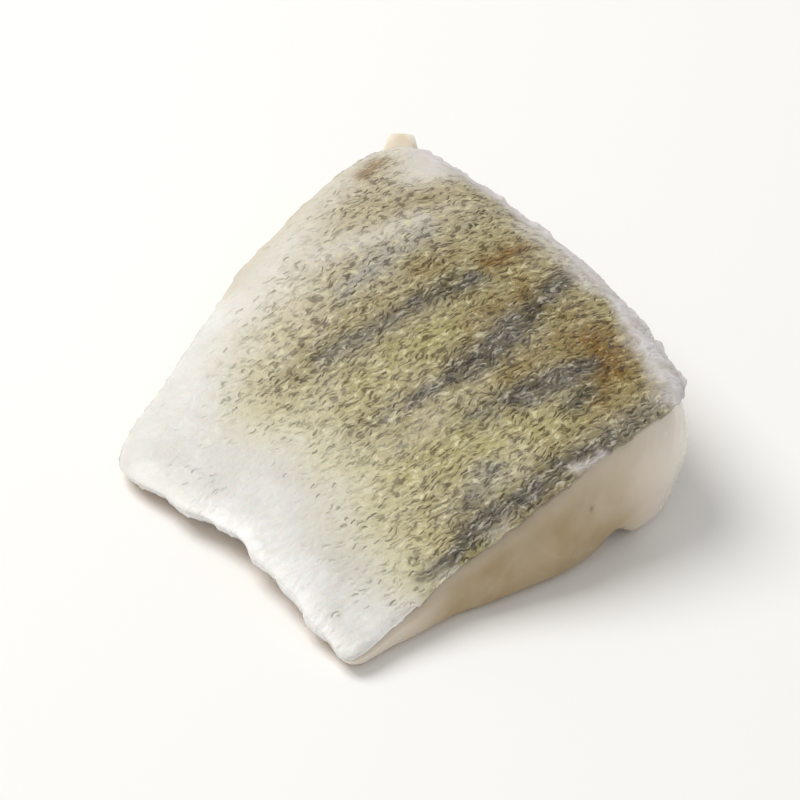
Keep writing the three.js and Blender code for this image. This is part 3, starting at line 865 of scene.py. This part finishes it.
def makeGlazeGroup():
    # a thin glaze of ice: whitens a little, breaks up the gloss, and leaves small swellings; its small white
    # specks are ice crystals, partly painted glints
    tree, bench, given, result, place = openGroup(
        "iceGlaze",
        {"Color": (0.8, 0.8, 0.8, 1), "Ice Color": (0.9, 0.92, 0.94, 1), "Frost": 0.0, "Film": 0.15,
         "Glint Specks": 0.3, "Roughness": 0.4, "Patch Scale": 160.0, "Crystal Scale": 1600.0},
        ("Color", "Roughness", "Coat", "Height"))
    patch = bench.noise(given["Patch Scale"], 3.0, 0.5, place)
    crystal = bench.noise(given["Crystal Scale"], 2.0, 0.6, place)
    film = bench.times(bench.ramp(patch, 0.38, 0.66), given["Film"])
    # white specks of ice crystals, partly painted glints
    glintSpecks = bench.times(bench.ramp(crystal, 0.66, 0.74), given["Glint Specks"])
    whole = bench.plus(bench.plus(film, glintSpecks), given["Frost"], True)
    bench.put(result["Color"], bench.blend(whole, given["Color"], given["Ice Color"]))
    rough = bench.plus(given["Roughness"], bench.times(bench.minus(crystal, 0.5), 0.2))
    rough = bench.minus(rough, bench.times(patch, 0.12))
    bench.put(result["Roughness"], bench.plus(rough, bench.times(given["Frost"], 0.25), True))
    bench.put(result["Coat"], bench.ramp(patch, 0.3, 0.7, 0.05, 0.4))
    bench.put(result["Height"], bench.plus(bench.times(patch, 0.7), bench.times(crystal, 0.3)))
    return tree


def makePocketGroup():
    # small curved scale pockets: a dark groove with a lip beside it, one in each cell of a stretched pattern;
    # the lip's light colour is a painted highlight
    tree, bench, given, result, place = openGroup(
        "scalePockets",
        {"Density": 1.0, "Across Scale": 1000.0, "Along Scale": 640.0, "Bow": 0.45,
         "Groove Width": 0.25, "Lip Offset": 0.34, "Sway": 0.0028, "Curl": 0.0003},
        ("Groove", "Lip Highlight", "Glint Fleck", "Streak", "Gleam", "Height"))
    apart = bench.add("ShaderNodeSeparateXYZ", {"Vector": place})
    sway = bench.times(bench.minus(bench.noise(260.0, 2.0, 0.6, place), 0.5), given["Sway"])
    curl = bench.times(bench.minus(bench.noise(1300.0, 2.0, 0.6, place), 0.5), given["Curl"])
    across = bench.times(bench.plus(apart.outputs["X"], bench.plus(sway, curl)), given["Across Scale"])
    along = bench.times(apart.outputs["Y"], given["Along Scale"])
    cellPlace = bench.add("ShaderNodeCombineXYZ", {"X": across, "Y": along}).outputs[0]
    cell = bench.add("ShaderNodeTexVoronoi", {"Vector": cellPlace, "Scale": 1.0, "Randomness": 0.9},
                     voronoi_dimensions="2D", feature="F1")
    local = bench.add("ShaderNodeVectorMath", {0: cellPlace, 1: cell.outputs["Position"]},
                      operation="SUBTRACT").outputs[0]
    local = bench.add("ShaderNodeSeparateXYZ", {"Vector": local})
    chance = bench.add("ShaderNodeSeparateColor", {"Color": cell.outputs["Color"]})
    turn = bench.times(bench.minus(chance.outputs["Red"], 0.42), 0.9)
    u = local.outputs["Y"]
    v = bench.plus(local.outputs["X"], bench.times(u, turn))
    v = bench.minus(v, bench.times(bench.times(u, u), given["Bow"]))
    longHalf = bench.plus(bench.times(chance.outputs["Green"], 0.3), 0.3)
    body = bench.ramp(bench.math("ABSOLUTE", u), longHalf, bench.times(longHalf, 0.5))
    shown = bench.ramp(bench.minus(given["Density"], chance.outputs["Blue"]), -0.05, 0.12)
    body = bench.times(body, shown)
    core = 0.03  # share of a cell in which groove and lip are at their strongest
    groove = bench.ramp(bench.math("ABSOLUTE", v), given["Groove Width"], core)
    lipAndHighlight = bench.ramp(bench.math("ABSOLUTE", bench.minus(v, given["Lip Offset"])), given["Groove Width"], core)
    groove, lipAndHighlight = bench.times(groove, body), bench.times(lipAndHighlight, body)
    bench.put(result["Groove"], bench.times(groove, bench.ramp(chance.outputs["Red"], 0.0, 0.7, 0.5, 1.0)))
    # Fleck: a painted glint on some of the lips
    bench.put(result["Glint Fleck"], bench.times(lipAndHighlight, bench.ramp(chance.outputs["Green"], 0.72, 0.86)))
    bench.put(result["Lip Highlight"], lipAndHighlight)
    # uneven creases between the pockets, longer along the rows
    crease = bench.add("ShaderNodeCombineXYZ", {"X": bench.times(across, 1.05), "Y": bench.times(along, 0.8)})
    crease = bench.noise(1.0, 2.5, 0.6, crease.outputs[0])
    bench.put(result["Streak"], bench.ramp(crease, 0.455, 0.385))
    # Gleam: painted highlights on the tops of the creases
    bench.put(result["Gleam"], bench.ramp(crease, 0.55, 0.65))
    bench.put(result["Height"], bench.minus(bench.plus(lipAndHighlight, bench.times(crease, 2.0)), groove))
    return tree


pocketGroup = makePocketGroup()
mottleGroup = makeMottleGroup()
glazeGroup = makeGlazeGroup()


def placeGroup(bench, tree, values):
    return bench.add("ShaderNodeGroup", values, node_tree=tree).outputs


def openMaterial(name, values):
    # a new material, with the values given to its shader's own sockets
    material = bpy.data.materials.new(name)
    material.use_nodes = True
    tree = material.node_tree
    tree.nodes.clear()
    bench = nodeBench(tree)
    shader = bench.add("ShaderNodeBsdfPrincipled", values)
    output = bench.add("ShaderNodeOutputMaterial")
    tree.links.new(shader.outputs[0], output.inputs["Surface"])
    return material, bench, shader


def wireGlaze(bench, shader, glaze, height, strength):
    bumpReach = 0.0003  # metres
    for socket, output in (("Base Color", "Color"), ("Roughness", "Roughness"), ("Coat Weight", "Coat")):
        bench.put(shader.inputs[socket], glaze[output])
    bump = bench.add("ShaderNodeBump", {"Strength": strength, "Distance": bumpReach, "Height": height})
    bench.put(shader.inputs["Normal"], bump.outputs[0])


def layTones(bench, base, tones, layers):
    # lays tones over a colour one after another: name of the tone, its mask, how much of it
    for name, mask, share in layers:
        base = bench.blend(bench.times(mask, share), base, tones[name])
    return base


skinFinish = {
    "masks": ("pigment", "bars", "smears", "pales", "golds", "rusts", "creams", "lemons", "greys", "groove",
              "ridgeAndHighlight", "frost", "paintedLight", "icyEdge", "cutEdge"),
    "tones": {
        # belly, strawFar and the olive's painted-light tone below are laid on towards the far cut as painted
        # light; bellyNear and straw are the tones away from it
        "belly": "ebe9e6", "bellyNear": "dfdcd6", "bellyShade": "d6d4cc", "icyEdge": "efeeec",
        "olive": "a3986e", "oliveTint": "98875a", "straw": "cfc8a4", "strawFar": "ccc3af",
        "lemons": "aca36a", "paintedLight": "beb296", "smears": "a7a296", "golds": "785b20", "bars": "544c37",
        "pales": "dcd6cc", "rusts": "85602f", "greys": "b7b2a6", "creams": "ccc5af",
        "pocket": "3f3108", "pocketPale": "a09c84", "pocketGrey": "6b685a", "pocketBar": "221d18",
        "pocketGold": "34220a",
        # tones of the painted highlights on the lips, in plain, pale, bar and gold places
        "ridgeAndHighlight": "dcd6ac", "highlightPale": "f1eee4", "highlightBar": "c0b9ae", "highlightGold": "ad8b4c",
        # fleck is the tone of the painted glints
        "glintFleck": "ece8dd", "frost": "dcd7d8", "cutEdge": "9c927f",
    },
    # how strongly each mask acts where it is 1
    "shares": {
        "lemons": 0.9, "paintedLight": 0.7, "smears": 1.0, "golds": 0.95, "bars": 0.95, "pales": 0.95, "rusts": 0.9,
        "greys": 0.4, "creams": 0.9, "highlightGold": 0.8, "highlightBar": 0.9, "pocketGold": 0.9, "pocketBar": 0.95,
        "ridgeAndHighlight": 0.35, "lipAndHighlight": 0.45, "gleam": 0.7, "glintFleck": 0.35, "groove": 0.5, "fineGroove": 0.95,
        "streak": 0.72, "calmPales": 0.7, "calmFrost": 0.8, "greyPockets": 0.3, "barPockets": 0.3,
        "barPatches": 0.5, "pocketBump": 0.5,
    },
    # soft steps over the pigment: from, to, and what they give there if that isn't 0 and 1
    "steps": {"straw": (0.02, 0.6), "olive": (0.3, 0.95), "shown": (0.1, 0.8),
              "density": (0.02, 0.75, 0.0, 0.92), "cutEdge": (0.0, 0.5)},
    # patches in which the painted highlights on the lips, the painted glints and the grooves show: scale,
    # detail and roughness, and a soft step
    "patches": {"lipHighlights": ((330.0, 3.0, 0.6), (0.36, 0.62, 0.25, 1.0)),
                "glintFlecks": ((520.0, 2.0, 0.5), (0.5, 0.66)),
                "grooves": ((420.0, 3.0, 0.6), (0.34, 0.6, 0.35, 1.0))},
    "bellyMottle": {"Amount": 0.5, "Blotch Scale": 130.0, "Grain Scale": 700.0},
    "oliveMottle": {"Amount": 0.8, "Blotch Scale": 90.0, "Grain Scale": 500.0},
    "glaze": {"Film": 0.06, "Glint Specks": 0.35, "Roughness": 0.4},
    "shader": {"Coat Roughness": 0.22, "Coat IOR": 1.31, "Specular IOR Level": 0.25,
               "Subsurface Weight": 0.25, "Subsurface Radius": (1.0, 0.6, 0.35), "Subsurface Scale": 0.0008},
    "bump": 0.5,
}


def makeSkinMaterial():
    look = skinFinish
    material, bench, shader = openMaterial("perchSkin", look["shader"])
    mask = {name: bench.attribute(name) for name in look["masks"]}
    tone = {name: paint(code) for name, code in look["tones"].items()}
    share, step = look["shares"], look["steps"]
    place = bench.add("ShaderNodeTexCoord").outputs["Object"]
    shown = bench.ramp(mask["pigment"], *step["shown"])
    mask["bars"] = bench.times(mask["bars"], shown)

    def lay(base, *names):
        return layTones(bench, base, tone, [(name, mask[name], share[name]) for name in names])

    def patches(name):
        grain, ends = look["patches"][name]
        return bench.ramp(bench.noise(*grain, place), *ends)

    # white belly, then straw, then olive up to the back; towards the far cut, on the side the light comes
    # from, each gets a lighter tone as painted light
    belly = bench.blend(mask["paintedLight"], tone["bellyNear"], tone["belly"])
    belly = bench.blend(mask["icyEdge"], belly, tone["icyEdge"])
    pale = placeGroup(bench, mottleGroup, {"Color": belly, "Tint": tone["bellyShade"], **look["bellyMottle"]})
    olive = placeGroup(bench, mottleGroup,
                       {"Color": tone["olive"], "Tint": tone["oliveTint"], **look["oliveMottle"]})
    olive = lay(olive["Color"], "lemons", "paintedLight", "smears", "golds")
    straw = bench.blend(mask["paintedLight"], tone["straw"], tone["strawFar"])
    color = bench.blend(bench.ramp(mask["pigment"], *step["straw"]), pale["Color"], straw)
    color = bench.blend(bench.ramp(mask["pigment"], *step["olive"]), color, olive)
    color = lay(color, "bars", "pales", "rusts", "greys")

    # scale pockets: fewer in the pale and frosted places, more in the bars and greys
    calm = bench.highest(bench.times(mask["pales"], share["calmPales"]),
                         bench.times(mask["frost"], share["calmFrost"]))
    calm = bench.minus(1.0, calm, True)
    density = bench.times(bench.ramp(mask["pigment"], *step["density"]), calm)
    density = bench.plus(density, bench.times(mask["greys"], share["greyPockets"]))
    density = bench.plus(density, bench.times(mask["bars"], share["barPockets"]))
    fine = placeGroup(bench, pocketGroup, {"Density": density})

    # painted highlights: on the lips of the pockets, as gleams on the creases, and as glinting flecks
    highlightTone = bench.blend(shown, tone["highlightPale"], tone["ridgeAndHighlight"])
    highlightTone = layTones(bench, highlightTone, tone, (("highlightGold", mask["golds"], share["highlightGold"]),
                                              ("highlightBar", mask["bars"], share["highlightBar"])))
    lipAndHighlight = bench.highest(bench.times(mask["ridgeAndHighlight"], share["ridgeAndHighlight"]), bench.times(fine["Lip Highlight"], share["lipAndHighlight"]))
    gleam = bench.times(fine["Gleam"], bench.times(shown, share["gleam"]))
    color = bench.blend(bench.highest(bench.times(lipAndHighlight, patches("lipHighlights")), gleam), color, highlightTone)
    # painted glints on some of the lips
    glintFleck = bench.times(fine["Glint Fleck"], patches("glintFlecks"))
    color = layTones(bench, color, tone, [("glintFleck", glintFleck, share["glintFleck"])])

    # dark grooves and streaks
    grooveTone = bench.blend(mask["greys"], tone["pocketPale"], tone["pocketGrey"])
    grooveTone = bench.blend(shown, grooveTone, tone["pocket"])
    grooveTone = layTones(bench, grooveTone, tone, (("pocketGold", mask["golds"], share["pocketGold"]),
                                                    ("pocketBar", mask["bars"], share["pocketBar"])))
    patchy = bench.plus(patches("grooves"), bench.times(mask["bars"], share["barPatches"]), True)
    groove = bench.highest(bench.times(mask["groove"], share["groove"]),
                           bench.times(fine["Groove"], share["fineGroove"]))
    streak = bench.times(fine["Streak"], bench.times(shown, share["streak"]))
    groove = bench.highest(bench.times(groove, patchy), streak)
    color = bench.blend(bench.times(groove, calm), color, grooveTone)

    color = lay(color, "creams")
    cutEdge = bench.times(mask["cutEdge"], bench.ramp(mask["pigment"], *step["cutEdge"]))
    color = bench.blend(cutEdge, color, tone["cutEdge"])
    glaze = placeGroup(bench, glazeGroup,
                       {"Color": color, "Ice Color": tone["frost"], "Frost": mask["frost"], **look["glaze"]})
    height = bench.plus(glaze["Height"], bench.times(fine["Height"], share["pocketBump"]))
    wireGlaze(bench, shader, glaze, height, look["bump"])
    return material


fleshFinish = {
    "masks": ("level", "flake", "shadeTan", "litLobe", "speck", "tip", "bellySideShade", "pink", "inside"),
    "tones": {
        # the low tone is the painted shade towards the foot of the walls
        "body": "e6dbc6", "bodyTint": "d3c4a9", "low": "c2aa7e", "inner": "efe4da", "innerTint": "e2cdbf",
        # on the next line, the belly side tone is painted warm shade, the tan tone is painted shade and the
        # lobe tone is painted light
        "flake": "f3ece0", "pink": "d8a896", "bellySideShade": "e6d2bd", "shadeTan": "a08650", "litLobe": "f0e7dc",
        "speck": "6b5a44", "tip": "fbf7ea", "ice": "efeae2",
    },
    # how much of each tone goes on where its mask is 1, laid on in this order
    "shares": {"bellySideShade": 0.8, "pink": 0.6, "shadeTan": 1.0, "litLobe": 0.85, "speck": 0.8, "flake": 0.22,
               "tip": 1.0},
    # soft steps down the walls: from, to, and what they give there; the low step is painted shade, darker and
    # warmer towards the foot
    "steps": {"low": (0.1, 0.95, 0.0, 0.55), "shadeTan": (0.0, 0.3, 0.3, 0.74)},
    "bodyMottle": {"Amount": 0.25, "Blotch Scale": 110.0, "Grain Scale": 480.0},
    "innerMottle": {"Amount": 0.7, "Blotch Scale": 80.0, "Grain Scale": 420.0},
    "glaze": {"Film": 0.1, "Glint Specks": 0.0, "Roughness": 0.28, "Patch Scale": 210.0, "Crystal Scale": 700.0},
    "shader": {"Coat Roughness": 0.15, "Coat IOR": 1.31, "Specular IOR Level": 0.4,
               "Subsurface Weight": 0.5, "Subsurface Radius": (1.0, 0.72, 0.5), "Subsurface Scale": 0.0014},
    "bump": 0.3,
}


def makeFleshMaterial():
    look = fleshFinish
    material, bench, shader = openMaterial("perchFlesh", look["shader"])
    mask = {name: bench.attribute(name) for name in look["masks"]}
    tone = {name: paint(code) for name, code in look["tones"].items()}
    body = placeGroup(bench, mottleGroup,
                      {"Color": tone["body"], "Tint": tone["bodyTint"], **look["bodyMottle"]})
    inner = placeGroup(bench, mottleGroup,
                       {"Color": tone["inner"], "Tint": tone["innerTint"], **look["innerMottle"]})
    # painted shade: the walls darker and warmer towards the foot
    low = bench.ramp(mask["level"], *look["steps"]["low"])
    color = bench.blend(low, body["Color"], tone["low"])
    color = bench.blend(mask["inside"], color, inner["Color"])
    # the painted shade on the near cut is weaker at the top of the wall
    mask["shadeTan"] = bench.times(mask["shadeTan"], bench.ramp(mask["level"], *look["steps"]["shadeTan"]))
    layers = [(name, mask[name], share) for name, share in look["shares"].items()]
    color = layTones(bench, color, tone, layers)
    glaze = placeGroup(bench, glazeGroup, {"Color": color, "Ice Color": tone["ice"], **look["glaze"]})
    wireGlaze(bench, shader, glaze, glaze["Height"], look["bump"])
    return material


skinPiece.data.materials.append(makeSkinMaterial())
fleshPiece.data.materials.append(makeFleshMaterial())
print("materials: skin and flesh")

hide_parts("skin")
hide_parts("flesh")
for piece, slotName in ((skinPiece, "skin"), (fleshPiece, "flesh")):
    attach(piece, "root")


# Studio: pale floor, soft lights, and the camera where the photographer stood.
studio = {
    "floor": "fcfcfb", "floorRoughness": 0.85, "floorSize": 8.0,
    "skyColor": (1.0, 0.995, 0.985, 1), "skyStrength": 0.45,
    # name: azimuth, elevation, distance, size (m), power (W), colour
    "lights": {"keyLight": (300, 52, 1.3, 0.9, 12.5, (1.0, 0.985, 0.96)),
               "fillLight": (60, 40, 1.6, 1.2, 1.5, (1.0, 0.96, 0.9))},
    "azimuth": 48.6, "elevation": 37.0, "roll": 7.85, "distance": 0.6,
    "target": (0.004067, 0.001409, 0.009), "lens": 186.2, "sensor": 36, "clip": (0.01, 20),
}


def direction(azimuth, elevation):
    a, e = math.radians(azimuth), math.radians(elevation)
    return Vector((math.sin(a) * math.cos(e), -math.cos(a) * math.cos(e), math.sin(e)))


def buildStudio():
    half = studio["floorSize"] / 2
    corners = [(-half, -half, 0), (half, -half, 0), (half, half, 0), (-half, half, 0)]
    mesh = bpy.data.meshes.new("studioFloor")
    mesh.from_pydata(corners, [], [(0, 1, 2, 3)])
    floor = bpy.data.objects.new("studioFloor", mesh)
    bpy.context.scene.collection.objects.link(floor)
    floorLook = {"Base Color": paint(studio["floor"]), "Roughness": studio["floorRoughness"]}
    mesh.materials.append(openMaterial("paleFloor", floorLook)[0])
    world = bpy.data.worlds.new("studioSky")
    world.use_nodes = True
    backdrop = world.node_tree.nodes["Background"]
    backdrop.inputs["Color"].default_value = studio["skyColor"]
    backdrop.inputs["Strength"].default_value = studio["skyStrength"]
    bpy.context.scene.world = world
    middle = Vector(studio["target"])
    for name, (azimuth, elevation, distance, size, power, color) in studio["lights"].items():
        lamp = bpy.data.lights.new(name, "AREA")
        lamp.shape = "DISK"
        lamp.size, lamp.energy, lamp.color = size, power, color
        light = bpy.data.objects.new(name, lamp)
        bpy.context.scene.collection.objects.link(light)
        back = direction(azimuth, elevation)
        light.location = middle + back * distance
        light.rotation_euler = back.to_track_quat("Z", "Y").to_euler()
    bpy.context.scene.view_settings.view_transform = "Standard"


def buildCamera():
    back = direction(studio["azimuth"], studio["elevation"])
    a, roll = math.radians(studio["azimuth"]), math.radians(studio["roll"])
    right = Vector((math.cos(a), math.sin(a), 0))
    up = back.cross(right)
    turnedRight = right * math.cos(roll) + up * math.sin(roll)
    turnedUp = up * math.cos(roll) - right * math.sin(roll)
    camera = bpy.data.objects.new("photoCamera", bpy.data.cameras.new("photoCamera"))
    bpy.context.scene.collection.objects.link(camera)
    camera.data.sensor_width, camera.data.lens = studio["sensor"], studio["lens"]
    camera.data.clip_start, camera.data.clip_end = studio["clip"]
    camera.matrix_world = Matrix((
        (turnedRight.x, turnedUp.x, back.x, 0), (turnedRight.y, turnedUp.y, back.y, 0),
        (turnedRight.z, turnedUp.z, back.z, 0), (0, 0, 0, 1)))
    camera.location = Vector(studio["target"]) + back * studio["distance"]
    bpy.context.scene.camera = camera


buildStudio()
buildCamera()
print("studio: floor, lights, camera")
